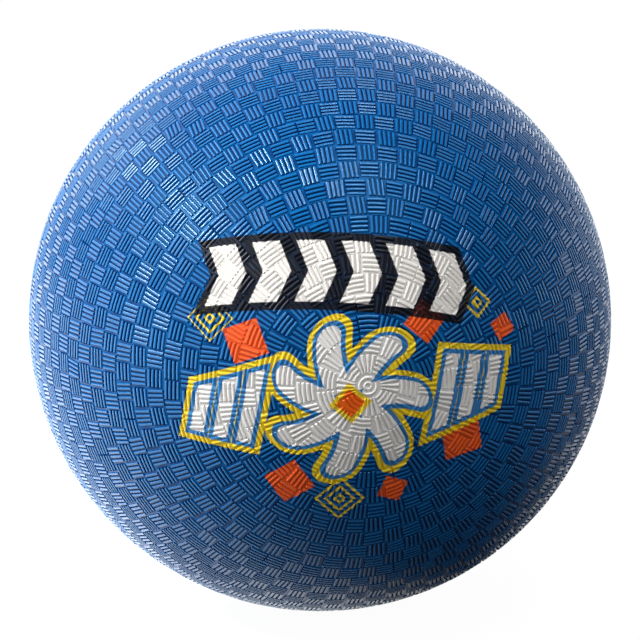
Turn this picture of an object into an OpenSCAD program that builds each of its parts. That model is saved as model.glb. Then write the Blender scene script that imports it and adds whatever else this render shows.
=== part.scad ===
// Rubber playground ball for dodgeball: a textured cover over a wound bladder full
// of air, with a two-piece inflation valve opposite the printed side.
// The origin is the centre of the ball. The valve and mould axis lies along Y, with
// the printed pole at -Y and the valve at +Y. Z is up.

/* [Ball] */
// Diameter over the crests of the moulded texture
ball_d = 254; // [200:1:420]
// Depth of the moulded texture, from its crests to its grooves
relief_h = 0.5; // [0.45:0.05:0.6]

/* [Wall] */
// Thickness of the cover, measured from the crests of its texture
cover_t = 1; // [0.8:0.05:2.5]
// Thickness of the backing rubber under the cover
carcass_t = 0.35; // [0.2:0.05:1.5]
// Thickness of the wound nylon thread
winding_t = 0.15; // [0.1:0.05:0.8]
// Thickness of the bladder
bladder_t = 0.5; // [0.3:0.05:1.5]
// Film of cement between one layer and the next
bond_gap = 0.1; // [0.05:0.05:0.3]

/* [Mould parting line] */
// Width of the plain band that runs round the ball at the parting line
seam_band_w = 3; // [1.6:0.2:6]
// Width of the trimmed flash ridge in the middle of that band
flash_w = 0.8; // [0.4:0.1:1.4]
// Height of the flash ridge above the grooves of the texture
flash_h = 0.4; // [0.1:0.05:0.4]
// Length along the valve axis of the skived joint, where the two cups overlap
skive_l = 0.6; // [0.3:0.1:1.4]

/* [Valve pad on the cover] */
// Width of the plain pad around the valve housing's neck
pad_w = 8; // [5:0.5:14]
// Distance from the pad's edge in to the target ring
ring_inset = 3; // [1:0.25:3]
// Width of the target ring
ring_w = 1; // [0.5:0.1:1.4]
// Height of the target ring above the pad
ring_h = 0.3; // [0.1:0.05:0.4]

/* [Valve plug] */
// Diameter of the plug's head, which lies flush with the pad
plug_head_d = 6; // [5.4:0.2:9]
// Thickness of the plug's head
plug_head_t = 1.4; // [0.8:0.1:2.5]
// Diameter of the plug's neck
plug_neck_d = 4.6; // [4.2:0.2:5]
// Length of the plug's neck, through the lip that holds the bulb
plug_neck_l = 3; // [2.4:0.1:5]
// Diameter of the plug's bulb at its shoulder
plug_bulb_d = 8; // [6.4:0.2:10]
// Length of the bulb's straight part
plug_bulb_l = 2.5; // [1:0.25:4]
// Length of the bulb's tapered part
plug_taper_l = 4.5; // [3:0.25:7]
// Diameter of the plug at its tip
plug_tip_d = 5; // [4.2:0.2:6]
// Bore that guides the inflating needle
needle_bore_d = 2.2; // [2:0.1:2.6]
// Depth of the needle bore below the pad
needle_bore_l = 9; // [6:0.5:9.5]
// Diameter of the lead-in cone at the mouth of the bore
lead_in_d = 2.8; // [2.7:0.1:4.6]
// Depth of the lead-in cone
lead_in_h = 0.3; // [0.2:0.05:0.45]
// Width of the sealing slit below the bore
slit_w = 3; // [2:0.2:3.8]
// Gap between the lips of the slit
slit_gap = 0.15; // [0.1:0.05:0.3]
// Clearance between the plug and its seat in the housing
plug_fit = 0.05; // [0.05:0.05:0.2]

/* [Valve housing] */
// Wall of the housing's neck around the plug's head
neck_wall_t = 2; // [1.2:0.1:4]
// Clearance between the neck and the layers that it passes through
neck_fit = 0.1; // [0.05:0.05:0.3]
// Wall of the housing around the plug's bulb
body_wall_t = 2.4; // [1.5:0.1:5]
// Floor of the housing below the plug's tip
floor_t = 3.5; // [2.5:0.25:8]
// Radius of the rounded edge at the housing's inner end
body_round_r = 2.5; // [0.5:0.25:2.5]
// Diameter of the air passage through the floor
exit_d = 3.2; // [2.4:0.2:4]
// Width of the cemented flange beyond the housing's body
flange_w = 10; // [6:0.5:20]
// Thickness of the flange on the valve axis
flange_t = 1.6; // [1.4:0.1:3]
// Thickness of the flange at its feathered edge
flange_edge_t = 0.4; // [0.3:0.05:0.8]
// Radius of the fillet between the flange and the body
flange_fillet_r = 1.5; // [0.5:0.25:2.5]

/* [Valve patch] */
// Width of the reinforcing patch beyond the flange
patch_w = 8; // [4:0.5:20]
// Thickness of the patch
patch_t = 0.5; // [0.3:0.05:1.2]
// Gap between the patch's edge and the pocket in the bladder
patch_fit = 0.3; // [0.2:0.1:0.6]

/* [Hidden] */

// Facets of the round forms, which stand for true circles
ARC_FN = 240;
// Length by which a cut runs past the surface that it opens
overrun = 3;

// Surfaces of the layers, as radii from the centre of the ball, from the outside in
ball_r = ball_d / 2;
groove_r = ball_r - relief_h;
flash_r = groove_r + flash_h;
cover_in_r = ball_r - cover_t;
carcass_out_r = cover_in_r - bond_gap;
carcass_in_r = carcass_out_r - carcass_t;
winding_out_r = carcass_in_r - bond_gap;
winding_in_r = winding_out_r - winding_t;
bladder_out_r = winding_in_r - bond_gap;
bladder_in_r = bladder_out_r - bladder_t;

// The patch lies in a pocket of the bladder, which is pressed inwards by its depth
patch_in_r = bladder_out_r - patch_t;
pocket_floor_r = patch_in_r - bond_gap;
pocket_in_r = pocket_floor_r - bladder_t;
flange_out_r = pocket_in_r - bond_gap;

// Radii of the valve's pieces about the valve axis
plug_head_r = plug_head_d / 2;
plug_neck_r = plug_neck_d / 2;
plug_bulb_r = plug_bulb_d / 2;
plug_tip_r = plug_tip_d / 2;
needle_bore_r = needle_bore_d / 2;
lead_in_r = lead_in_d / 2;
exit_r = exit_d / 2;
neck_r = plug_head_r + plug_fit + neck_wall_t;
neck_hole_r = neck_r + neck_fit;
body_r = plug_bulb_r + plug_fit + body_wall_t;
flange_r = body_r + flange_w;
patch_r = flange_r + patch_w;
pocket_r = patch_r + patch_fit;
pad_r = neck_hole_r + pad_w;
ring_out_r = pad_r - ring_inset;
ring_in_r = ring_out_r - ring_w;

// Heights along the valve axis, from the mouth of the valve down into the ball
mouth_y = groove_r;
lead_in_y = mouth_y - lead_in_h;
head_y = mouth_y - plug_head_t;
shoulder_y = head_y - plug_neck_l;
taper_y = shoulder_y - plug_bulb_l;
tip_y = taper_y - plug_taper_l;
bore_end_y = mouth_y - needle_bore_l;
body_end_y = tip_y - plug_fit - floor_t;
flange_root_y = flange_out_r - flange_t;
flange_edge_y = sqrt(flange_out_r * flange_out_r - flange_r * flange_r) - flange_edge_t;
// Height of the flange's sloping underside where the body's wall meets it
flange_body_y = flange_root_y + (flange_edge_y - flange_root_y) * body_r / flange_r;

// Profiles are drawn with X away from the valve axis and Y along it

// Turns a profile about the valve axis
module turned() {
    rotate([-90, 0, 0]) rotate_extrude($fn = ARC_FN) children();
}

// Ring between two circles around the centre of the ball
module layer(outer_r, inner_r) {
    difference() {
        circle(r = outer_r, $fn = ARC_FN);
        circle(r = inner_r, $fn = ARC_FN);
    }
}

// Rectangle between two radii and two heights
module window(near_r, far_r, low_y, high_y) {
    translate([near_r, low_y]) square([far_r - near_r, high_y - low_y]);
}

// Everything within a radius of the valve axis, on the valve's side of the ball
module column(r) {
    window(0, r, 0, ball_r + overrun);
}

// What lies above one spherical level, between two radii from the valve axis
module pad_cut(level_r, near_r, far_r) {
    intersection() {
        layer(ball_r + overrun, level_r);
        window(near_r, far_r, 0, ball_r + overrun);
    }
}

// What lies above one spherical level, between two distances from the parting plane
module seam_cut(level_r, near_y, far_y) {
    intersection() {
        layer(ball_r + overrun, level_r);
        window(0, ball_r + overrun, near_y, far_y);
    }
}

// Half of a ball on the side of +Y, cut by the skived joint's slanting face. The face
// meets the outside at the parting plane. Its inner edge lies a skive's length past
// that plane where lean is 1, and as far short of it where lean is -1.
module skived_half(lean) {
    root_x = cover_in_r - overrun;
    root_y = -lean * skive_l * (flash_r - root_x) / (flash_r - cover_in_r);
    top = ball_r + overrun;
    polygon([[0, root_y], [root_x, root_y], [flash_r, 0], [top, 0], [top, top], [0, top]]);
}

// Half of the cover, from the joint to the pole at +Y
module cover_profile(lean) {
    difference() {
        intersection() {
            layer(ball_r, cover_in_r);
            skived_half(lean);
        }
        seam_cut(flash_r, -overrun, flash_w / 2);
        seam_cut(groove_r, flash_w / 2, seam_band_w / 2);
    }
}

// Closed layer of the wall with the opening for the valve housing's neck
module wall_profile(outer_r, inner_r) {
    difference() {
        intersection() {
            layer(outer_r, inner_r);
            window(0, outer_r, -outer_r, outer_r);
        }
        column(neck_hole_r);
    }
}

module front_cover() {
    color([0.03, 0.25, 0.62]) mirror([0, 1, 0]) turned() cover_profile(lean = 1);
}

module rear_cover() {
    color([0.03, 0.25, 0.62]) turned() difference() {
        cover_profile(lean = -1);
        pad_cut(groove_r, 0, ring_in_r);
        pad_cut(groove_r + ring_h, ring_in_r, ring_out_r);
        pad_cut(groove_r, ring_out_r, pad_r);
        column(neck_hole_r);
    }
}

module carcass_ply() {
    color([0.16, 0.17, 0.19]) turned() wall_profile(carcass_out_r, carcass_in_r);
}

module nylon_winding() {
    color([0.88, 0.86, 0.80]) turned() wall_profile(winding_out_r, winding_in_r);
}

module bladder() {
    bladder_mid_r = (bladder_out_r + bladder_in_r) / 2;
    color([0.07, 0.07, 0.08]) turned() difference() {
        union() {
            wall_profile(bladder_out_r, bladder_in_r);
            intersection() {
                layer(bladder_mid_r, pocket_in_r);
                column(pocket_r + bladder_t);
            }
        }
        pad_cut(pocket_floor_r, 0, pocket_r);
        column(neck_hole_r);
    }
}

module valve_patch() {
    color([0.10, 0.10, 0.11]) turned() intersection() {
        layer(bladder_out_r, patch_in_r);
        window(neck_hole_r, patch_r, 0, ball_r);
    }
}

// Flange, cut off by its sloping underside, which thins towards a feathered edge
module flange_profile() {
    intersection() {
        circle(r = flange_out_r, $fn = ARC_FN);
        polygon([
            [0, flange_root_y], [flange_r, flange_edge_y],
            [flange_r, ball_r], [0, ball_r]
        ]);
    }
}

// Body below the flange, with a rounded inner edge
module body_profile() {
    top_y = flange_root_y + flange_edge_t;
    window(0, body_r - body_round_r, body_end_y, top_y);
    window(0, body_r, body_end_y + body_round_r, top_y);
    translate([body_r - body_round_r, body_end_y + body_round_r])
        circle(r = body_round_r, $fn = ARC_FN);
}

// Fillet that carries the flange's underside into the body's wall
module fillet_profile() {
    difference() {
        window(
            body_r - flange_edge_t, body_r + flange_fillet_r,
            flange_body_y - flange_fillet_r, flange_body_y
        );
        translate([body_r + flange_fillet_r, flange_body_y - flange_fillet_r])
            circle(r = flange_fillet_r, $fn = ARC_FN);
    }
}

// Room for the plug, larger than the plug by its fit, and the passage below it
module plug_seat_profile() {
    column_top = ball_r + overrun;
    window(0, plug_head_r + plug_fit, head_y - plug_fit, column_top);
    window(0, plug_neck_r + plug_fit, shoulder_y, head_y);
    polygon([
        [0, shoulder_y + plug_fit],
        [plug_bulb_r + plug_fit, shoulder_y + plug_fit],
        [plug_bulb_r + plug_fit, taper_y],
        [plug_tip_r + plug_fit, tip_y - plug_fit],
        [0, tip_y - plug_fit]
    ]);
    window(0, exit_r, body_end_y - overrun, taper_y);
}

module valve_housing() {
    color([0.13, 0.13, 0.14]) turned() difference() {
        union() {
            flange_profile();
            body_profile();
            fillet_profile();
            intersection() {
                circle(r = groove_r, $fn = ARC_FN);
                window(0, neck_r, flange_root_y, ball_r);
            }
        }
        plug_seat_profile();
    }
}

// Plug with its head, its neck and the bulb whose shoulder holds it in
module plug_profile() {
    intersection() {
        circle(r = groove_r, $fn = ARC_FN);
        polygon([
            [0, tip_y], [plug_tip_r, tip_y], [plug_bulb_r, taper_y],
            [plug_bulb_r, shoulder_y], [plug_neck_r, shoulder_y],
            [plug_neck_r, head_y], [plug_head_r, head_y],
            [plug_head_r, ball_r], [0, ball_r]
        ]);
    }
}

// Needle bore with its lead-in cone
module bore_profile() {
    window(0, needle_bore_r, bore_end_y, ball_r);
    polygon([
        [0, lead_in_y], [needle_bore_r, lead_in_y],
        [lead_in_r, mouth_y], [lead_in_r, ball_r], [0, ball_r]
    ]);
}

module valve_plug() {
    // The slit starts in the bottom of the bore, so that it opens into the bore
    slit_l = bore_end_y + slit_gap - tip_y + overrun;
    color([0.55, 0.57, 0.60]) difference() {
        turned() difference() {
            plug_profile();
            bore_profile();
        }
        translate([-slit_w / 2, tip_y - overrun, -slit_gap / 2])
            cube([slit_w, slit_l, slit_gap]);
    }
}

front_cover();
rear_cover();
carcass_ply();
nylon_winding();
bladder();
valve_patch();
valve_housing();
valve_plug();
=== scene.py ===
import math
import random

import bpy
import numpy as np
from mathutils import Matrix, Vector


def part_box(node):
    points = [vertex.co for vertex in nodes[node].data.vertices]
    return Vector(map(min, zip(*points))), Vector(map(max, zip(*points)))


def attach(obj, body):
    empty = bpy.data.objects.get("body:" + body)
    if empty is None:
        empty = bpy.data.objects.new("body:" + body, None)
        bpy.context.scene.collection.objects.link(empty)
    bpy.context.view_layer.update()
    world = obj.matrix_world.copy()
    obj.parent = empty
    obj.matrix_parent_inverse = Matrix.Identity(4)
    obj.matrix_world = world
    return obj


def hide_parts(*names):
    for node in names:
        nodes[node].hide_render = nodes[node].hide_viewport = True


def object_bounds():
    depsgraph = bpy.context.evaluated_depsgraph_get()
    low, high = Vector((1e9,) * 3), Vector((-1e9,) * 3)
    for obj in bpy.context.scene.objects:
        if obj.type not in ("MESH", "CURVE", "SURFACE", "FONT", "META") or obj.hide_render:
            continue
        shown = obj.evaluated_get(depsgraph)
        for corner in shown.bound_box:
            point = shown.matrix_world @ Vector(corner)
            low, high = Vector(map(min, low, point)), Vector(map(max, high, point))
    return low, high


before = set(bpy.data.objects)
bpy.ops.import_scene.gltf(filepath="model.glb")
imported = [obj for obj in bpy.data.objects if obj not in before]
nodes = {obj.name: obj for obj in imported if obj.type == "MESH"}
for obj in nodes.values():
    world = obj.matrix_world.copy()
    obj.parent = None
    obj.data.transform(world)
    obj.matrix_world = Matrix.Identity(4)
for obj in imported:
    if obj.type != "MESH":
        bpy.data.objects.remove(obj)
cad_lo, cad_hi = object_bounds()

# Lengths are in metres. The valve and mould axis is Y, with the print at -Y.
MM = 0.001

# Sizes of the ball, from the frame
BALL_R = -cad_lo.y
GROOVE_R = max(v.co.length for v in nodes["valve_housing"].data.vertices)
COVER_IN_R = min(v.co.length for v in nodes["front_cover"].data.vertices)
NECK_HOLE_R = min(math.hypot(v.co.x, v.co.z) for v in nodes["rear_cover"].data.vertices)
RELIEF = BALL_R - GROOVE_R

# Mould parting line: half the plain band, and the trimmed flash ridge inside it
BAND_HALF_W = 1.5 * MM
BAND_THETA = math.acos(BAND_HALF_W / GROOVE_R)
BAND_INNER_HALF_W = BAND_HALF_W * 0.86
FLASH_HALF_W = 0.4 * MM
FLASH_BEVEL = 0.1 * MM
FLASH_BEVEL_FALL = 0.3
FLASH_H = 0.4 * MM
FLASH_R = GROOVE_R + FLASH_H
SKIVE_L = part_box("front_cover")[1].y

# Valve pad on the rear half
PAD_R = 13.15 * MM
RING_OUT_R = 10.15 * MM
RING_IN_R = 9.15 * MM
RING_H = 0.3 * MM
RING_BEVEL = 0.12 * MM
RING_SHOULDER_IN = RING_BEVEL * 0.4
RING_SHOULDER_H = RING_H * 0.75
RING_APRON = 1 * MM
NECK_APRON = 0.5 * MM

# Boss at the front pole: two raised rings, with their edges as shares of the boss's radius
BOSS_EDGE = 0.93
BOSS_RINGS = ((0.84, 0.58), (0.4, 0.14))
BOSS_SHOULDER_IN = 0.05
BOSS_CREST_IN = 0.09
BOSS_SHOULDER_LIFT = 0.7
BOSS_SIDES = 48

# Weave: rings of cells, chequered between ribs that run out from the pole and ribs that run
# round it
RING_STEP = math.radians(3.63)
FRONT_RINGS = 24
FRONT_SEED = 11
REAR_SEED = 23
CELL_W = 8.05 * MM
RIBS = 4
RIB_PITCH = 1.87 * MM
RIB_BASE = 1.42 * MM
WELL_DEPTH = 0.26 * MM
RIB_SHOULDER = 1.04 * MM
RIB_CREST = 0.42 * MM
SHOULDER_LIFT = 0.66
RADIAL_END_GAP = 0.13 * MM
ROUND_END_GAP = 0.12 * MM
ROUND_RIB_MAX = 8.0 * MM
MARGIN_MIN = 0.25 * MM
END_SLOPE = 0.14 * MM
END_CREST = 0.30 * MM
END_JITTER = 0.14 * MM
SIDE_JITTER = 0.05 * MM
LEAN = 0.12 * MM
LEAN_LARGE = 0.55 * MM
LEAN_LARGE_SHARE = 0.06
HEIGHT_JITTER_SHARE = 0.08
EDGE_JITTER_SHARE = 0.05

# Where a ring gets more cells than the one inside it, some stand double
CATCH_UP_RINGS = 3
DOUBLE_PICK_JITTER = 0.12
ROUND_DOUBLE_BONUS = 1.04
DOUBLE_SPLIT = 16
SPREAD_PASSES = 12

# Fineness of the mesh. A ring of up to TIGHT_RING cells gets extra points.
TIGHT_RING = 76
TIGHT_SHARES = (0.25, 0.5, 0.75)
AZIMUTH_SLACK = 1e-9
SHARE_SLACK = 1e-7
LATHE_SIDES = 240
INSIDE_SIDES = 120
INSIDE_STEPS = 30
CREASE_ANGLE = math.radians(30)


class Skin:
    """Points of one half of the cover, by angle from its pole and azimuth, and their faces."""

    def __init__(self, side):
        self.side = side
        self.points = []
        self.faces = []

    def add(self, theta, phi, radius):
        self.points.append((theta, phi, radius))
        return len(self.points) - 1

    def loop(self, rho, y, sides):
        """Circle about the axis, at a distance from the axis and a height towards the pole."""
        theta, radius = math.atan2(rho, y), math.hypot(rho, y)
        return [(k / sides, self.add(theta, math.tau * k / sides, radius)) for k in range(sides)]

    def mesh(self, name):
        theta, phi, radius = np.array(self.points).T
        co = np.stack(
            [
                radius * np.sin(theta) * np.cos(phi),
                self.side * radius * np.cos(theta),
                radius * np.sin(theta) * np.sin(phi),
            ],
            axis=1,
        )
        faces = self.faces
        if self.side < 0:
            faces = [f[::-1] for f in faces]
        mesh = bpy.data.meshes.new(name)
        mesh.from_pydata(co.tolist(), [], faces)
        mesh.validate()
        mesh.shade_smooth()
        mesh.set_sharp_from_angle(angle=CREASE_ANGLE)
        piece = bpy.data.objects.new(name, mesh)
        bpy.context.scene.collection.objects.link(piece)
        return piece


def zip_strip(skin, outer, inner, closed):
    """Fills the strip between two rows of (place, point) pairs with triangles.

    Both rows are in order of place. closed is the length of a whole turn, where they close.
    """
    if closed:
        outer = outer + [(outer[0][0] + closed, outer[0][1])]
        inner = inner + [(inner[0][0] + closed, inner[0][1])]
    i, j = 0, 0
    while i < len(outer) - 1 or j < len(inner) - 1:
        inner_done = j == len(inner) - 1
        if inner_done or (i < len(outer) - 1 and outer[i + 1][0] <= inner[j + 1][0]):
            skin.faces.append((outer[i][1], outer[i + 1][1], inner[j][1]))
            i += 1
        else:
            skin.faces.append((inner[j + 1][1], inner[j][1], outer[i][1]))
            j += 1


def rib_rows(skin, place, squeeze, lean, rng):
    """Ribs of one cell.

    Returns for each rib its near and far base edge, and all its lines of points from near to
    far. Each line runs from end to end.
    """
    rows = []
    for b in range(RIBS):
        mid = (b - (RIBS - 1) / 2) * RIB_PITCH + rng.uniform(-1, 1) * SIDE_JITTER
        skew = lean + rng.uniform(-1, 1) * SIDE_JITTER
        height = RELIEF * (1 - rng.uniform(0, HEIGHT_JITTER_SHARE))
        ends = [rng.random() * END_JITTER for _ in range(2)]
        section = []
        for half, lift, inset in (
            (RIB_BASE / 2, 0, (0, 0)),
            (RIB_SHOULDER / 2, SHOULDER_LIFT, [END_SLOPE + end for end in ends]),
            (RIB_CREST / 2, 1, [END_CREST + end for end in ends]),
        ):
            for sign in (-1, 1):
                side = (mid + sign * half) * squeeze
                between_ribs = lift == 0 and b != (0 if sign < 0 else RIBS - 1)
                level = -WELL_DEPTH if between_ribs else lift * height
                row = place(side, skew, inset, GROOVE_R + level)
                section.append([skin.add(*p) for p in row])
        base_lo, base_hi, mid_lo, mid_hi, top_lo, top_hi = section
        across = [base_lo, mid_lo, top_lo, top_hi, mid_hi, base_hi]
        rows.append((base_lo, base_hi, across))
    return rows


def add_cell(skin, low, high, left, right, radial, outer, parts, rng):
    """One cell of the weave between two ring boundaries and two azimuths.

    outer is the loop of (side + share, point) pairs round the cell. Radial ribs run from pole to
    parting line, the others run round the axis.
    """
    height = (high - low) * GROOVE_R
    width = (right - left) * GROOVE_R * math.sin((low + high) / 2)
    along, across_room = (height, width) if radial else (width, height)
    gap = RADIAL_END_GAP if radial else max(ROUND_END_GAP, (width - ROUND_RIB_MAX) / 2)
    block = (RIBS - 1) * RIB_PITCH + RIB_BASE
    squeeze = min(1, (across_room - 2 * MARGIN_MIN) / block)
    lean = rng.gauss(0, LEAN)
    if rng.random() < LEAN_LARGE_SHARE:
        lean = rng.choice((-1, 1)) * LEAN_LARGE
    spare = (across_room - block * squeeze) / 2 - MARGIN_MIN / 2
    lean = max(-spare, min(spare, lean))

    def place(side, skew, inset, radius):
        row = []
        start = (gap + inset[0]) / along
        stop = 1 - (gap + inset[1]) / along
        for k in range(parts + 1):
            share = k / parts
            s = start + (stop - start) * share
            t = 0.5 + (side + skew * (2 * share - 1)) / across_room
            if radial:
                row.append((low + (high - low) * s, left + (right - left) * t, radius))
            else:
                row.append((low + (high - low) * t, left + (right - left) * s, radius))
        return row

    rows = rib_rows(skin, place, squeeze, lean, rng)
    quads = []
    for base_lo, base_hi, across in rows:
        for near, far in zip(across, across[1:]):
            for k in range(parts):
                quads.append((near[k], far[k], far[k + 1], near[k + 1]))
        for end, turn in ((0, 1), (parts, -1)):
            lo, mid_lo, top_lo, top_hi, mid_hi, hi = (line[end] for line in across)
            quads.append((lo, hi, mid_hi, mid_lo)[::turn])
            quads.append((mid_lo, mid_hi, top_hi, top_lo)[::turn])
    for (_, here, _), (there, _, _) in zip(rows, rows[1:]):
        for k in range(parts):
            quads.append((here[k], there[k], there[k + 1], here[k + 1]))
    skin.faces += quads if radial else [q[::-1] for q in quads]

    first, last = rows[0][0], rows[-1][1]
    starts = [p for lo, hi, _ in rows for p in (lo[0], hi[0])]
    stops = [p for lo, hi, _ in rows for p in (lo[-1], hi[-1])]
    if radial:
        sides = (starts, last, stops[::-1], first[::-1])
    else:
        sides = (first, stops, last[::-1], starts[::-1])
    inner = []
    for n, side in enumerate(sides):
        inner += [(n + k / (len(side) - 1), p) for k, p in enumerate(side[:-1])]
    zip_strip(skin, outer, inner, closed=4)


def neighbours(mids, steps):
    """The middles a number of cells back and ahead, on the same turn of the ring."""
    back, ahead = np.roll(mids, steps), np.roll(mids, -steps)
    back[:steps] -= math.tau
    ahead[-steps:] += math.tau
    return back, ahead


def spread(mids):
    """Evens out the distances between the middles of a ring's cells."""
    for _ in range(SPREAD_PASSES):
        back, ahead = neighbours(mids, 1)
        mids = mids / 2 + (back + ahead) / 4
    return mids


def cell_end(cuts, n):
    """The azimuth at which cell n of a ring ends."""
    return cuts[n + 1] if n + 1 < len(cuts) else cuts[0] + math.tau


def first_ring(theta_mid, rng):
    """Even count of cells, alternately radial and round. Returns their left azimuths and kinds."""
    count = 2 * math.ceil(math.pi * GROOVE_R * math.sin(theta_mid) / CELL_W)
    turn = rng.random() * math.tau
    return turn + math.tau * np.arange(count) / count, [n % 2 == 0 for n in range(count)]


def next_ring(cuts, radial, theta_mid, rng):
    """Each cell lies against one of the other kind. Where a ring grows, some stand double."""
    mids, kinds = [], []
    for n, left in enumerate(cuts):
        right = cell_end(cuts, n)
        mids.append((left + right) / 2)
        kinds.append(not radial[n])
        if radial[n] == radial[(n + 1) % len(cuts)]:
            mids.append(right)
            kinds.append(radial[n])
    mids = spread(np.array(mids))
    wanted = math.tau * GROOVE_R * math.sin(theta_mid) / CELL_W
    growth = math.tau * GROOVE_R * math.cos(theta_mid) * RING_STEP / CELL_W
    for _ in range(round((wanted - len(kinds) + growth) / CATCH_UP_RINGS)):
        back, ahead = neighbours(mids, 2)
        room = ahead - back
        for n, kind in enumerate(kinds):
            room[n] *= 1 + rng.random() * DOUBLE_PICK_JITTER
            if kind in (kinds[n - 1], kinds[(n + 1) % len(kinds)]):
                room[n] = 0
            elif not kind:
                room[n] *= ROUND_DOUBLE_BONUS
        n = int(np.argmax(room))
        step = (ahead[n] - back[n]) / DOUBLE_SPLIT
        mids = np.concatenate([mids[:n], [mids[n] - step, mids[n] + step], mids[n + 1 :]])
        kinds.insert(n, kinds[n])
        mids = spread(mids)
    back, _ = neighbours(mids, 1)
    width = math.tau / len(mids)
    jitter = [rng.uniform(-1, 1) * EDGE_JITTER_SHARE * width for _ in mids]
    return (back + mids) / 2 + jitter, kinds


def boundary(skin, theta, *rings):
    """Points on one ring boundary, in order of azimuth: the cell corners of both its rings.

    Near the pole, where the boundary is tightly curved, there are more points between them.
    """
    places = set()
    for ring in rings:
        cuts = [float(a) for a in ring]
        places.update(a % math.tau for a in cuts)
        if len(cuts) < TIGHT_RING:
            for n, left in enumerate(cuts):
                width = cell_end(cuts, n) - left
                places.update((left + width * share) % math.tau for share in TIGHT_SHARES)
    return [(a, skin.add(theta, a, GROOVE_R)) for a in sorted(places)]


def between(points, left, right):
    """(share, point) pairs of a ring boundary from one azimuth to the next."""
    found = []
    for a, p in points:
        share = ((a - left + AZIMUTH_SLACK) % math.tau - AZIMUTH_SLACK) / (right - left)
        if share < 1 + SHARE_SLACK:
            found.append((share, p))
    return sorted(found)


def weave(skin, first, seed):
    """All rings of cells from the angle first to the plain band.

    Returns the innermost and outermost boundaries.
    """
    rng = random.Random(seed)
    count = round((BAND_THETA - first) / RING_STEP)
    lines = [first + (BAND_THETA - first) * k / count for k in range(count + 1)]
    middles = [(a + b) / 2 for a, b in zip(lines, lines[1:])]
    rings = [first_ring(middles[0], rng)]
    for middle in middles[1:]:
        rings.append(next_ring(*rings[-1], middle, rng))
    edges = [[]] + [ring[0] for ring in rings] + [[]]
    circles = [boundary(skin, t, edges[k], edges[k + 1]) for k, t in enumerate(lines)]
    for k, (cuts, radial) in enumerate(rings):
        low, high = lines[k], lines[k + 1]
        for n, left in enumerate(cuts):
            right = cell_end(cuts, n)
            far = between(circles[k + 1], left, right)
            outer = between(circles[k], left, right)
            outer += [(2, far[-1][1])]
            outer += [(3 - share, p) for share, p in reversed(far[:-1])]
            parts = 1 if radial[n] or len(cuts) > TIGHT_RING else 2
            add_cell(skin, low, high, left, right, radial[n], outer, parts, rng)
    return circles[0], circles[-1]


def turn_places(points):
    """The same ring boundary with its azimuths as shares of a turn."""
    return [(a / math.tau, p) for a, p in points]


def lathe(skin, row, profile, sides, inward=False):
    """Carries the skin on from a closed row of points through circles.

    profile has their (distance from the axis, height). inward is for the outer face, from its
    weave towards the pole.
    """
    for rho, y in profile:
        ring = skin.loop(rho, y, sides)
        strip = (ring, row) if inward else (row, ring)
        zip_strip(skin, *strip, closed=1)
        row = ring
    return row


def on_sphere(rho, radius=GROOVE_R):
    """The circle of a sphere that lies rho from the axis."""
    return rho, math.sqrt(radius * radius - rho * rho)


def close_pole(skin, row, radius, outward):
    """Closes a row of points with a fan to a point on the axis."""
    tip = skin.add(0, 0, radius)
    for (_, p), (_, q) in zip(row, row[1:] + row[:1]):
        skin.faces.append((q, p, tip)[::outward])


def rim_and_inside(skin, edge, skive_y, hole_r):
    """From the weave's last boundary over the flash ridge, and back along the inside."""
    band = [
        (math.sqrt(GROOVE_R**2 - BAND_INNER_HALF_W**2), BAND_INNER_HALF_W),
        (math.sqrt(GROOVE_R**2 - FLASH_HALF_W**2), FLASH_HALF_W),
        (FLASH_R - FLASH_BEVEL, FLASH_HALF_W - FLASH_BEVEL * FLASH_BEVEL_FALL),
        (FLASH_R, FLASH_HALF_W - FLASH_BEVEL),
        (FLASH_R, 0),
    ]
    row = lathe(skin, turn_places(edge), band, LATHE_SIDES)
    start = math.acos(skive_y / COVER_IN_R)
    stop = math.asin(hole_r / COVER_IN_R)
    circles = INSIDE_STEPS + 1 if hole_r else INSIDE_STEPS
    steps = [start + (stop - start) * k / INSIDE_STEPS for k in range(circles)]
    inside = [(COVER_IN_R * math.sin(t), COVER_IN_R * math.cos(t)) for t in steps]
    return lathe(skin, row, inside, INSIDE_SIDES)


def build_front():
    skin = Skin(-1)
    first = BAND_THETA - FRONT_RINGS * RING_STEP
    cap, edge = weave(skin, first, FRONT_SEED)
    row = rim_and_inside(skin, edge, -SKIVE_L, 0)
    close_pole(skin, row, COVER_IN_R, -1)
    cap_r = GROOVE_R * math.sin(first)
    shoulder_r = GROOVE_R + RELIEF * BOSS_SHOULDER_LIFT
    profile = [on_sphere(cap_r * BOSS_EDGE)]
    for far, near in BOSS_RINGS:
        profile += [
            on_sphere(cap_r * far),
            on_sphere(cap_r * (far - BOSS_SHOULDER_IN), shoulder_r),
            on_sphere(cap_r * (far - BOSS_CREST_IN), BALL_R),
            on_sphere(cap_r * (near + BOSS_CREST_IN), BALL_R),
            on_sphere(cap_r * (near + BOSS_SHOULDER_IN), shoulder_r),
            on_sphere(cap_r * near),
        ]
    row = lathe(skin, turn_places(cap), profile, BOSS_SIDES, inward=True)
    close_pole(skin, row, GROOVE_R, 1)
    return skin.mesh("front_cover_skin")


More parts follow.
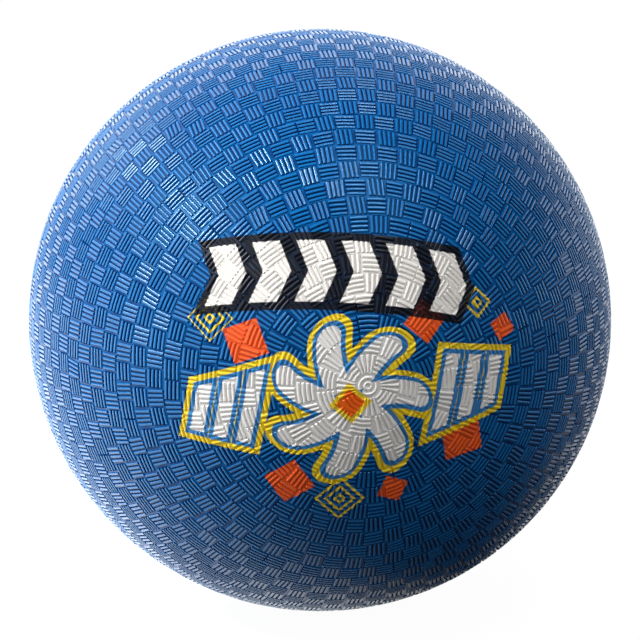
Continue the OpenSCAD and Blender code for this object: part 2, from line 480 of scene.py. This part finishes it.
def build_rear():
    skin = Skin(1)
    pad, edge = weave(skin, math.asin(PAD_R / GROOVE_R), REAR_SEED)
    inside = rim_and_inside(skin, edge, SKIVE_L, NECK_HOLE_R)
    ring_r = GROOVE_R + RING_H
    shoulder_r = GROOVE_R + RING_SHOULDER_H
    profile = [
        on_sphere(RING_OUT_R + RING_APRON),
        on_sphere(RING_OUT_R),
        on_sphere(RING_OUT_R - RING_SHOULDER_IN, shoulder_r),
        on_sphere(RING_OUT_R - RING_BEVEL, ring_r),
        on_sphere(RING_IN_R + RING_BEVEL, ring_r),
        on_sphere(RING_IN_R + RING_SHOULDER_IN, shoulder_r),
        on_sphere(RING_IN_R),
        on_sphere(NECK_HOLE_R + NECK_APRON),
        on_sphere(NECK_HOLE_R),
    ]
    outside = lathe(skin, turn_places(pad), profile, INSIDE_SIDES, inward=True)
    zip_strip(skin, inside, outside, closed=1)
    return skin.mesh("rear_cover_skin")


front = build_front()
rear = build_rear()
for piece, node in ((front, "front_cover"), (rear, "rear_cover")):
    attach(piece, "root")
    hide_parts(node)


def new_material(name):
    """A material, its node tree and its Principled shader."""
    material = bpy.data.materials.new(name)
    material.use_nodes = True
    tree = material.node_tree
    tree.nodes.clear()
    out = tree.nodes.new("ShaderNodeOutputMaterial")
    shader = tree.nodes.new("ShaderNodeBsdfPrincipled")
    tree.links.new(shader.outputs[0], out.inputs[0])
    return material, tree, shader


def math_node(tree, kind, a, b=None, clamp=False):
    node = tree.nodes.new("ShaderNodeMath")
    node.operation = kind
    node.use_clamp = clamp
    for slot, value in enumerate((a, b)):
        if value is None:
            continue
        if isinstance(value, (int, float)):
            node.inputs[slot].default_value = value
        else:
            tree.links.new(value, node.inputs[slot])
    return node.outputs[0]


class Field:
    """A number that varies over a surface. Arithmetic on it adds nodes to its material."""

    def __init__(self, tree, out):
        self.tree = tree
        self.out = out

    def node(self, kind, other=None, clamp=False):
        value = other.out if isinstance(other, Field) else other
        return Field(self.tree, math_node(self.tree, kind, self.out, value, clamp))

    def __add__(self, other):
        return self.node("ADD", other)

    def __sub__(self, other):
        return self.node("SUBTRACT", other)

    def __mul__(self, other):
        return self.node("MULTIPLY", other)

    def __truediv__(self, other):
        return self.node("DIVIDE", other)

    def __abs__(self):
        return self.node("ABSOLUTE")

    def least(self, other):
        return self.node("MINIMUM", other)

    def most(self, other):
        return self.node("MAXIMUM", other)

    def clamped(self):
        return self.node("ADD", 0, clamp=True)

    def ramp(self, low, high):
        """0 below low and 1 above high, straight between. With low above high it falls."""
        return ((self - low) * (1 / (high - low))).clamped()


# Stands for 0 mm from the axis, where a division would fail
OFF_AXIS_MIN = 1e-4


class Surface:
    """Places on the ball, in millimetres, for one material."""

    def __init__(self, tree):
        self.tree = tree
        coords = tree.nodes.new("ShaderNodeTexCoord")
        scale = tree.nodes.new("ShaderNodeVectorMath")
        scale.operation = "SCALE"
        scale.inputs["Scale"].default_value = 1 / MM
        tree.links.new(coords.outputs["Object"], scale.inputs[0])
        self.place = scale.outputs[0]
        parts = tree.nodes.new("ShaderNodeSeparateXYZ")
        tree.links.new(self.place, parts.inputs[0])
        self.x, self.y, self.z = (Field(tree, out) for out in parts.outputs)
        self.radius = (self.x * self.x + self.y * self.y + self.z * self.z).node("SQRT")

    def noise(self, size, detail=2.0, rough=0.5):
        """Noise between 0 and 1 whose blobs are about size millimetres across."""
        node = self.tree.nodes.new("ShaderNodeTexNoise")
        node.inputs["Scale"].default_value = 1 / size
        node.inputs["Detail"].default_value = detail
        node.inputs["Roughness"].default_value = rough
        self.tree.links.new(self.place, node.inputs["Vector"])
        return Field(self.tree, node.outputs["Fac"])

    def laid_flat(self):
        """Place right of and above the printed pole, with the cap as if it were laid flat."""
        off_axis = (self.x * self.x + self.z * self.z).node("SQRT").most(OFF_AXIS_MIN)
        angle = off_axis.node("ARCTAN2", self.y * -1)
        stretch = angle * (BALL_R / MM) / off_axis
        return self.x * stretch, self.z * stretch


def mix(tree, share, low, high):
    """Colour between two colours, each a tuple or a socket."""
    node = tree.nodes.new("ShaderNodeMix")
    node.data_type = "RGBA"
    tree.links.new(share.out, node.inputs["Factor"])
    for slot, colour in ((6, low), (7, high)):
        if isinstance(colour, tuple):
            node.inputs[slot].default_value = (*colour, 1)
        else:
            tree.links.new(colour, node.inputs[slot])
    return node.outputs[2]


def add_bump(tree, shader, height, depth):
    """height is a Field, 0 to 1, and depth what 1 stands for in metres."""
    bump = tree.nodes.new("ShaderNodeBump")
    bump.inputs["Distance"].default_value = depth
    tree.links.new(height.out, bump.inputs["Height"])
    tree.links.new(bump.outputs[0], shader.inputs["Normal"])


# The print, in millimetres about the pole: a row of chevrons, and below it a wheel of petals
# between bars
ROW_CENTRE = (-8, 46)
ROW_TILT = -4
ROW_BEND = 1 / 560
CHEVRON_PITCH = 18.5
CHEVRON_ARM = 11.5
CHEVRON_HALF_H = 12.5
CHEVRON_RAKE = 0.42
CHEVRONS_EACH_SIDE = 3
BLACK_LINE = 3.3

EMBLEM_CENTRE = (-7, -7)
EMBLEM_TILT = 5
PETALS = 7
PETAL_FROM = 11
PETAL_TO = 27
PETAL_HALF_W = 5.2
PETAL_TWIST = 0.016
HUB_R = 6
BAR_PITCH = 10.5
BAR_HALF_W = 3.1
BAR_RAKE = 0.28
BAR_FIRST = 40.5
BARS = 3
BAR_HALF_H = 15
BAR_FALL = 0.22
BLUE_LINE = 1.9
YELLOW_LINE = 4.4

# Places, half sizes and turns of the orange squares behind the emblem
SQUARES = (
    (-49, 18, 7.5, 20),
    (24, 25, 6.5, 50),
    (41, -25, 8.5, 12),
    (-31, -42, 7.5, 35),
    (12, -46, 5, 70),
    (-70, -22, 4, 10),
    (60, 20, 4.5, 30),
)
# Places and sizes of the yellow nested diamonds
NESTS = ((-64, 27, 7), (-10, -50, 7.5), (48, 31, 6))
NEST_STEP = 2.8
NEST_LINE = 0.5

# How soft the ink's edge is, and how far and on what scale it wavers
PRINT_EDGE = 0.35
PRINT_WAVER = 0.5
WAVER_SIZE = 1.6


def turned(x, y, centre, degrees):
    """Place about a centre, on axes turned anticlockwise."""
    c, s = math.cos(math.radians(degrees)), math.sin(math.radians(degrees))
    dx, dy = x - centre[0], y - centre[1]
    return dx * c + dy * s, dy * c - dx * s


def nearest_copy(u, pitch, first, last):
    """u measured from the middle of the nearest of a row of copies, numbered from first to last."""
    number = (u / pitch).node("FLOOR").most(first).least(last)
    return u - (number + 0.5) * pitch


def diamond(x, y, half):
    return (abs(x) + abs(y) - half) * math.sqrt(0.5)


def chevron_row(x, y):
    x, y = turned(x, y, ROW_CENTRE, ROW_TILT)
    y = y + x * x * ROW_BEND
    raked = x + abs(y) * CHEVRON_RAKE
    u = nearest_copy(raked, CHEVRON_PITCH, -CHEVRONS_EACH_SIDE, CHEVRONS_EACH_SIDE - 1)
    arms = (abs(u) - CHEVRON_ARM / 2) / math.hypot(1, CHEVRON_RAKE)
    return arms.most(abs(y) - CHEVRON_HALF_H)


def petals(x, y):
    """Distance out of a wheel of round-ended petals, which lean round more further out."""
    radius = (x * x + y * y).node("SQRT")
    step = math.tau / PETALS
    angle = (y.node("ARCTAN2", x) + radius * PETAL_TWIST) / step
    angle = (angle - angle.node("FLOOR") - 0.5) * step
    along = radius * angle.node("COSINE") - (PETAL_FROM + PETAL_TO) / 2
    beyond = (abs(along) - (PETAL_TO - PETAL_FROM) / 2).most(0)
    across = radius * angle.node("SINE")
    return (beyond * beyond + across * across).node("SQRT") - PETAL_HALF_W


def side_bars(x, y):
    """Raked bars left and right of the petals, each set the other turned half round."""
    side = x.node("SIGN")
    x, y = abs(x), y * side
    u = nearest_copy(x - y * BAR_RAKE - BAR_FIRST + BAR_PITCH / 2, BAR_PITCH, 0, BARS - 1)
    bars = (abs(u) - BAR_HALF_W) / math.hypot(1, BAR_RAKE)
    ends = abs(y) - BAR_HALF_H + (x - BAR_FIRST) * BAR_FALL
    return bars.most(ends / math.hypot(1, BAR_FALL))


def ink_masks(surface):
    """The layers of the print from the lowest up: colour name and coverage."""
    x, y = surface.laid_flat()
    waver = (surface.noise(WAVER_SIZE) - 0.5) * PRINT_WAVER

    def cover(distance):
        return (distance + waver).ramp(PRINT_EDGE / 2, -PRINT_EDGE / 2)

    squares = None
    for cx, cy, half, turn in SQUARES:
        u, v = turned(x, y, (cx, cy), turn)
        square = abs(u).most(abs(v)) - half
        squares = square if squares is None else squares.least(square)
    nests = None
    for cx, cy, size in NESTS:
        d = diamond(x - cx, y - cy, 0)
        lines = abs((d / NEST_STEP).node("FRACT") - 0.5) * NEST_STEP - NEST_LINE
        nest = lines.most(d - size)
        nests = nest if nests is None else nests.least(nest)
    ex, ey = turned(x, y, EMBLEM_CENTRE, EMBLEM_TILT)
    emblem = petals(ex, ey).least(side_bars(ex, ey))
    hub = diamond(ex, ey, HUB_R)
    row = chevron_row(x, y)
    return (
        ("orange", cover(squares)),
        ("yellow", cover(nests)),
        ("yellow", cover(emblem - YELLOW_LINE)),
        ("cyan", cover(emblem - BLUE_LINE)),
        ("white", cover(emblem)),
        ("yellow", cover(hub - BLUE_LINE)),
        ("orange", cover(hub)),
        ("black", cover(row - BLACK_LINE)),
        ("white", cover(row)),
    )


# Colours of the inks, and of the rubber further down, as they are written to the shader
INKS = {
    "white": (0.88, 0.85, 0.81),
    "yellow": (0.93, 0.68, 0.01),
    "orange": (0.92, 0.12, 0.006),
    "cyan": (0.0, 0.20, 0.55),
    "black": (0.006, 0.006, 0.008),
}

# Blue rubber: between the ribs; paler on their crests, which is painted light; darker at their feet
# and in the wells between the ribs, which is painted shade; and paler where it is scuffed
BLUE = (0.0, 0.082, 0.29)
BLUE_PAINTED_LIGHT_CREST = (0.0, 0.145, 0.43)
BLUE_PAINTED_SHADE_FOOT = (0.0, 0.03, 0.15)
BLUE_SCUFFED = (0.005, 0.16, 0.42)
BLOTCH_SHARE = 0.15
SCUFF_SHARE = 0.5

# Gloss. The crests shine; in the grooves the gloss tint is darkened as painted shade on the
# reflection, and the black ink shines less.
GLOSS_TINT = (0.72, 0.93, 1.0)
GROOVE_GLOSS_SHADE_TINT = (0.1, 0.3, 0.4)
BLACK_GLOSS_TINT = (0.3, 0.3, 0.32)
GLOSS_LEVEL = 0.62
CREST_ROUGH = 0.21
GROOVE_ROUGH = 0.37
HAZE = 0.1
INK_EXTRA_ROUGH = 0.08

# Sizes in millimetres of what varies over the rubber, and the depth of its grain in metres
BLOTCH_SIZE = 22
SCUFF_SIZE = 5
HAZE_SIZE = 3
SPECK_SIZE = 0.9
RUBBER_GRAIN = 0.035 * MM

# Heights at which the looks change, from 0 at the groove to 1 at the crest: the crests' paler
# colour (painted light), gloss and roughness, and the painted shade at the rib feet
CREST_RAMP = (0.2, 0.95)
FOOT_SHADE_RAMP = (0.02, 0.15)
FOOT_SHADE_END = (0.7, 0.3)

# Ink is a little thinner in the grooves than on the crests, and misses the deepest specks
INK_IN_GROOVE = 0.92
INK_SKIPS = (0.25, 0.36)


def cover_material(name, printed):
    """Moulded blue rubber, with the print on it if printed."""
    material, tree, shader = new_material(name)
    surface = Surface(tree)
    level = (surface.radius - GROOVE_R / MM) * (MM / RELIEF)
    lift = level.clamped()
    crest = lift.ramp(*CREST_RAMP)
    # Painted shade: the lower walls of the ribs and the sunken wells between them get a darker
    # blue, where shade falls between the ribs
    walls = level.ramp(*FOOT_SHADE_RAMP) + (level * -1).ramp(*FOOT_SHADE_RAMP)
    foot_shade = walls * level.ramp(*FOOT_SHADE_END)
    blotch = surface.noise(BLOTCH_SIZE, detail=3).ramp(0.35, 0.65)
    speck = surface.noise(SPECK_SIZE, detail=3, rough=0.6)
    scuff = surface.noise(SCUFF_SIZE, detail=4, rough=0.65).ramp(0.55, 0.8)
    # Painted light: the crests are paler than the grooves, mixed with random blotches of tone
    pale = crest * (1 - BLOTCH_SHARE) + blotch * BLOTCH_SHARE
    colour = mix(tree, pale, BLUE, BLUE_PAINTED_LIGHT_CREST)
    colour = mix(tree, foot_shade, colour, BLUE_PAINTED_SHADE_FOOT)
    colour = mix(tree, lift * scuff * SCUFF_SHARE, colour, BLUE_SCUFFED)
    # Painted shade on the reflection: the gloss tint is darkened in the grooves
    gloss = mix(tree, crest, GROOVE_GLOSS_SHADE_TINT, GLOSS_TINT)
    haze = surface.noise(HAZE_SIZE, detail=3) * HAZE - HAZE / 2
    rough = haze + crest * (CREST_ROUGH - GROOVE_ROUGH) + GROOVE_ROUGH
    if printed:
        thin = lift * (1 - INK_IN_GROOVE) + INK_IN_GROOVE
        cover = thin * speck.ramp(*INK_SKIPS)
        ink = None
        for kind, mask in ink_masks(surface):
            mask = mask * cover
            colour = mix(tree, mask, colour, INKS[kind])
            ink = mask if ink is None else ink.most(mask)
            if kind == "black":
                gloss = mix(tree, mask, gloss, BLACK_GLOSS_TINT)
        rough = rough + ink * INK_EXTRA_ROUGH
    tree.links.new(colour, shader.inputs["Base Color"])
    tree.links.new(rough.out, shader.inputs["Roughness"])
    tree.links.new(gloss, shader.inputs["Specular Tint"])
    shader.inputs["Specular IOR Level"].default_value = GLOSS_LEVEL
    add_bump(tree, shader, speck, RUBBER_GRAIN)
    return material


front.data.materials.append(cover_material("printed_rubber", True))
rear.data.materials.append(cover_material("blue_rubber", False))


FINE_SHARE = 0.2
CLOUD_SHARE = 0.3
CLOUD_SCALE = 12
ROUGH_RANGE = 0.2


def soft_material(name, dark, light, rough, size, grain, pattern=None):
    """Rubber or thread between two colours, with a grain of a size in mm and a depth in metres.

    pattern gives a Field, 0 to 1, from the surface.
    """
    material, tree, shader = new_material(name)
    surface = Surface(tree)
    fine = surface.noise(size, detail=4, rough=0.6)
    height = (pattern(surface) * (1 - FINE_SHARE) + fine * FINE_SHARE) if pattern else fine
    cloud = surface.noise(size * CLOUD_SCALE, detail=3).ramp(0.3, 0.7)
    pale = height * (1 - CLOUD_SHARE) + cloud * CLOUD_SHARE
    tree.links.new(mix(tree, pale, dark, light), shader.inputs["Base Color"])
    rough = fine * ROUGH_RANGE + (rough - ROUGH_RANGE / 2)
    tree.links.new(rough.out, shader.inputs["Roughness"])
    add_bump(tree, shader, height, grain)
    return material


def ribbed(field, pitch):
    """Round ridges across a distance, a pitch apart."""
    return (field * (math.tau / pitch)).node("SINE") * 0.5 + 0.5


CLOTH_PITCH = 1.2


def cloth_print(surface):
    """The square weave of the cloth that the ply is rolled on."""
    warp = ribbed(surface.x + surface.z * 0.4, CLOTH_PITCH)
    weft = ribbed(surface.y + surface.z * 0.3, CLOTH_PITCH)
    return warp.most(weft)


# Directions about which the thread is wound, layer over layer
WINDING_AXES = (
    (0.2, 0.3, 0.93),
    (0.85, 0.1, -0.5),
    (-0.6, 0.4, 0.69),
    (0.1, -0.75, 0.65),
    (0.7, 0.6, 0.38),
)
THREAD_PITCH = 0.55
THREAD_PATCH = 45
THREAD_PATCH_STEP = 7


def wound_thread(surface):
    """Threads round several axes. Which layer is on top changes from patch to patch."""
    found = None
    for n, (a, b, c) in enumerate(WINDING_AXES):
        across = surface.x * a + surface.y * b + surface.z * c
        threads = ribbed(across, THREAD_PITCH)
        if found is None:
            found = threads
            continue
        patch = surface.noise(THREAD_PATCH + THREAD_PATCH_STEP * n, detail=0)
        top = patch.ramp(0.5, 0.51)
        found = found + (threads - found) * top
    return found


# Each piece that stays as its CAD node, and what soft_material is told for it
PLY = ((0.018, 0.02, 0.024), (0.035, 0.038, 0.045))
NYLON = ((0.42, 0.39, 0.33), (0.8, 0.77, 0.68))
BUTYL = ((0.004, 0.004, 0.005), (0.02, 0.02, 0.022))
PATCH_BLACK = ((0.012, 0.012, 0.014), (0.03, 0.03, 0.033))
VALVE_BLACK = ((0.01, 0.01, 0.012), (0.024, 0.024, 0.027))
PLUG_GREY = ((0.2, 0.22, 0.25), (0.3, 0.32, 0.36))
NODE_LOOKS = (
    ("carcass_ply", "ply_look", *PLY, 0.65, 0.5, 0.06 * MM, cloth_print),
    ("nylon_winding", "thread_look", *NYLON, 0.45, 0.3, 0.12 * MM, wound_thread),
    ("bladder", "bladder_look", *BUTYL, 0.4, 0.8, 0.03 * MM),
    ("valve_patch", "patch_look", *PATCH_BLACK, 0.6, 0.4, 0.04 * MM),
    ("valve_housing", "valve_look", *VALVE_BLACK, 0.5, 0.4, 0.03 * MM),
    ("valve_plug", "plug_look", *PLUG_GREY, 0.42, 0.35, 0.03 * MM),
)
for node, *look in NODE_LOOKS:
    material = soft_material(*look)
    for slot in nodes[node].material_slots:
        slot.material = material


# Camera, as in the photograph: looking at the ball's centre from ten radii away
VIEW_AZIMUTH = math.radians(-8.63)
VIEW_ELEVATION = math.radians(12.03)
VIEW_DISTANCE = 10 * BALL_R
SENSOR = 36.0
IMAGE = 640
FOCAL_PX = 2898.5
back = Vector(
    (
        math.sin(VIEW_AZIMUTH) * math.cos(VIEW_ELEVATION),
        -math.cos(VIEW_AZIMUTH) * math.cos(VIEW_ELEVATION),
        math.sin(VIEW_ELEVATION),
    )
)
right = Vector((math.cos(VIEW_AZIMUTH), math.sin(VIEW_AZIMUTH), 0))
up = back.cross(right)
camera_data = bpy.data.cameras.new("camera")
camera_data.sensor_width = SENSOR
camera_data.lens = SENSOR * FOCAL_PX / IMAGE
camera = bpy.data.objects.new("camera", camera_data)
camera.rotation_mode = "QUATERNION"
camera.rotation_quaternion = Matrix((right, up, back)).transposed().to_quaternion()
camera.location = back * VIEW_DISTANCE
bpy.context.scene.collection.objects.link(camera)
bpy.context.scene.camera = camera
bpy.context.scene.view_settings.view_transform = "Standard"


def seen_from_camera(x, y, z):
    """A direction given as right, up and towards the camera."""
    return (right * x + up * y + back * z).normalized()


LAMP_DISTANCE = 2.4

# Name, direction as right, up and towards the camera, angle across in degrees, and light at
# the ball in W per sq m
LAMPS = (
    ("key", (-0.70, 0.58, 0.40), 10, 2.6),
    ("key_halo", (-0.70, 0.58, 0.40), 36, 0.8),
    ("front", (-0.38, 0.12, 0.92), 40, 0.6),
    ("left", (-0.91, 0.0, 0.41), 25, 0.48),
    ("left_back", (-0.80, 0.60, 0.03), 30, 0.8),
    ("top", (-0.43, 0.90, 0.03), 30, 0.2),
    ("top_right", (0.25, 0.80, 0.54), 20, 1.1),
    ("front_right", (0.40, 0.52, 0.75), 40, 0.45),
    ("right", (0.97, 0.10, 0.03), 30, 0.16),
    ("right_back", (0.91, 0.0, -0.42), 40, 0.45),
)


def area_light(name, direction, angle, level):
    """A round softbox facing the ball."""
    data = bpy.data.lights.new(name, "AREA")
    data.shape = "DISK"
    data.size = 2 * LAMP_DISTANCE * math.tan(math.radians(angle / 2))
    data.energy = level * math.pi * LAMP_DISTANCE**2
    lamp = bpy.data.objects.new(name, data)
    place = seen_from_camera(*direction) * LAMP_DISTANCE
    lamp.location = place
    lamp.rotation_mode = "QUATERNION"
    lamp.rotation_quaternion = place.to_track_quat("Z", "Y")
    bpy.context.scene.collection.objects.link(lamp)


for lamp in LAMPS:
    area_light(*lamp)

# Bright paper that lights the ball, and paper that only its gloss shows: direction, cosines
# between which it fades in, and level. The wall stands behind the ball and the floor is bright
# to the left. The room in front is dim.
WALL = (seen_from_camera(-0.30, 0.15, -0.94), (0.45, 0.75), 2.4)
FLOOR_GLOW = (seen_from_camera(-0.85, -0.35, -0.40), (0.5, 0.9), 3.1)
WALL_IN_GLOSS = ((-back, (0.15, 0.45), 1.3),)
FLOOR_IN_GLOSS = (
    (seen_from_camera(-0.70, -0.50, -0.50), (0.05, 0.6), 1.6),
    (-back, (0.0, 0.6), 0.85),
)
ROOM_LEVEL = 0.01

# What the camera sees: the wall's white and the floor's, the floor's own grey for its shadow,
# and half the floor's width
WALL_WHITE = 1
FLOOR_WHITE = 0.97
FLOOR_GREY = 0.05
FLOOR_HALF_W = 6.0


def glow(tree, direction, towards, edges, level):
    """How bright the studio is in a direction: level about towards, and dim away from it."""
    unit = tree.nodes.new("ShaderNodeVectorMath")
    unit.operation = "NORMALIZE"
    tree.links.new(direction, unit.inputs[0])
    dot = tree.nodes.new("ShaderNodeVectorMath")
    dot.operation = "DOT_PRODUCT"
    dot.inputs[1].default_value = towards
    tree.links.new(unit.outputs[0], dot.inputs[0])
    ramp = tree.nodes.new("ShaderNodeMapRange")
    ramp.interpolation_type = "SMOOTHSTEP"
    ramp.inputs["From Min"].default_value = edges[0]
    ramp.inputs["From Max"].default_value = edges[1]
    ramp.inputs["To Min"].default_value = ROOM_LEVEL
    ramp.inputs["To Max"].default_value = level
    tree.links.new(dot.outputs["Value"], ramp.inputs["Value"])
    return ramp.outputs[0]


def studio_level(tree, direction, lit, in_gloss, white):
    """How bright a ray finds the studio.

    The camera, and rays through something clear, see it white. Gloss sees the paper in_gloss,
    and all other rays see what is lit.
    """
    rays = tree.nodes.new("ShaderNodeLightPath").outputs
    seen = math_node(tree, "MAXIMUM", rays["Is Camera Ray"], rays["Is Transmission Ray"])
    for spot in in_gloss:
        paper = math_node(tree, "MULTIPLY", rays["Is Glossy Ray"], glow(tree, direction, *spot))
        seen = math_node(tree, "MAXIMUM", seen, paper)
    seen = math_node(tree, "MULTIPLY", seen, white)
    return math_node(tree, "MAXIMUM", glow(tree, direction, *lit), seen)


def build_world():
    world = bpy.data.worlds.new("studio")
    bpy.context.scene.world = world
    world.use_nodes = True
    tree = world.node_tree
    tree.nodes.clear()
    out = tree.nodes.new("ShaderNodeOutputWorld")
    background = tree.nodes.new("ShaderNodeBackground")
    background.inputs["Color"].default_value = (1, 1, 1, 1)
    tree.links.new(background.outputs[0], out.inputs[0])
    coords = tree.nodes.new("ShaderNodeTexCoord")
    strength = studio_level(tree, coords.outputs["Generated"], WALL, WALL_IN_GLOSS, WALL_WHITE)
    tree.links.new(strength, background.inputs["Strength"])


build_world()


def build_floor():
    corners = ((-1, -1), (1, -1), (1, 1), (-1, 1))
    points = [(x * FLOOR_HALF_W, y * FLOOR_HALF_W, cad_lo.z) for x, y in corners]
    mesh = bpy.data.meshes.new("floor")
    mesh.from_pydata(points, [], [(0, 1, 2, 3)])
    floor = bpy.data.objects.new("floor", mesh)
    bpy.context.scene.collection.objects.link(floor)
    material = bpy.data.materials.new("pale_floor")
    material.use_nodes = True
    tree = material.node_tree
    tree.nodes.clear()
    out = tree.nodes.new("ShaderNodeOutputMaterial")
    light = tree.nodes.new("ShaderNodeEmission")
    light.inputs["Color"].default_value = (1, 1, 1, 1)
    paper = tree.nodes.new("ShaderNodeBsdfDiffuse")
    paper.inputs["Color"].default_value = (FLOOR_GREY, FLOOR_GREY, FLOOR_GREY, 1)
    add = tree.nodes.new("ShaderNodeAddShader")
    geometry = tree.nodes.new("ShaderNodeNewGeometry")
    place = geometry.outputs["Position"]
    strength = studio_level(tree, place, FLOOR_GLOW, FLOOR_IN_GLOSS, FLOOR_WHITE)
    tree.links.new(strength, light.inputs["Strength"])
    tree.links.new(light.outputs[0], add.inputs[0])
    tree.links.new(paper.outputs[0], add.inputs[1])
    tree.links.new(add.outputs[0], out.inputs[0])
    mesh.materials.append(material)


build_floor()
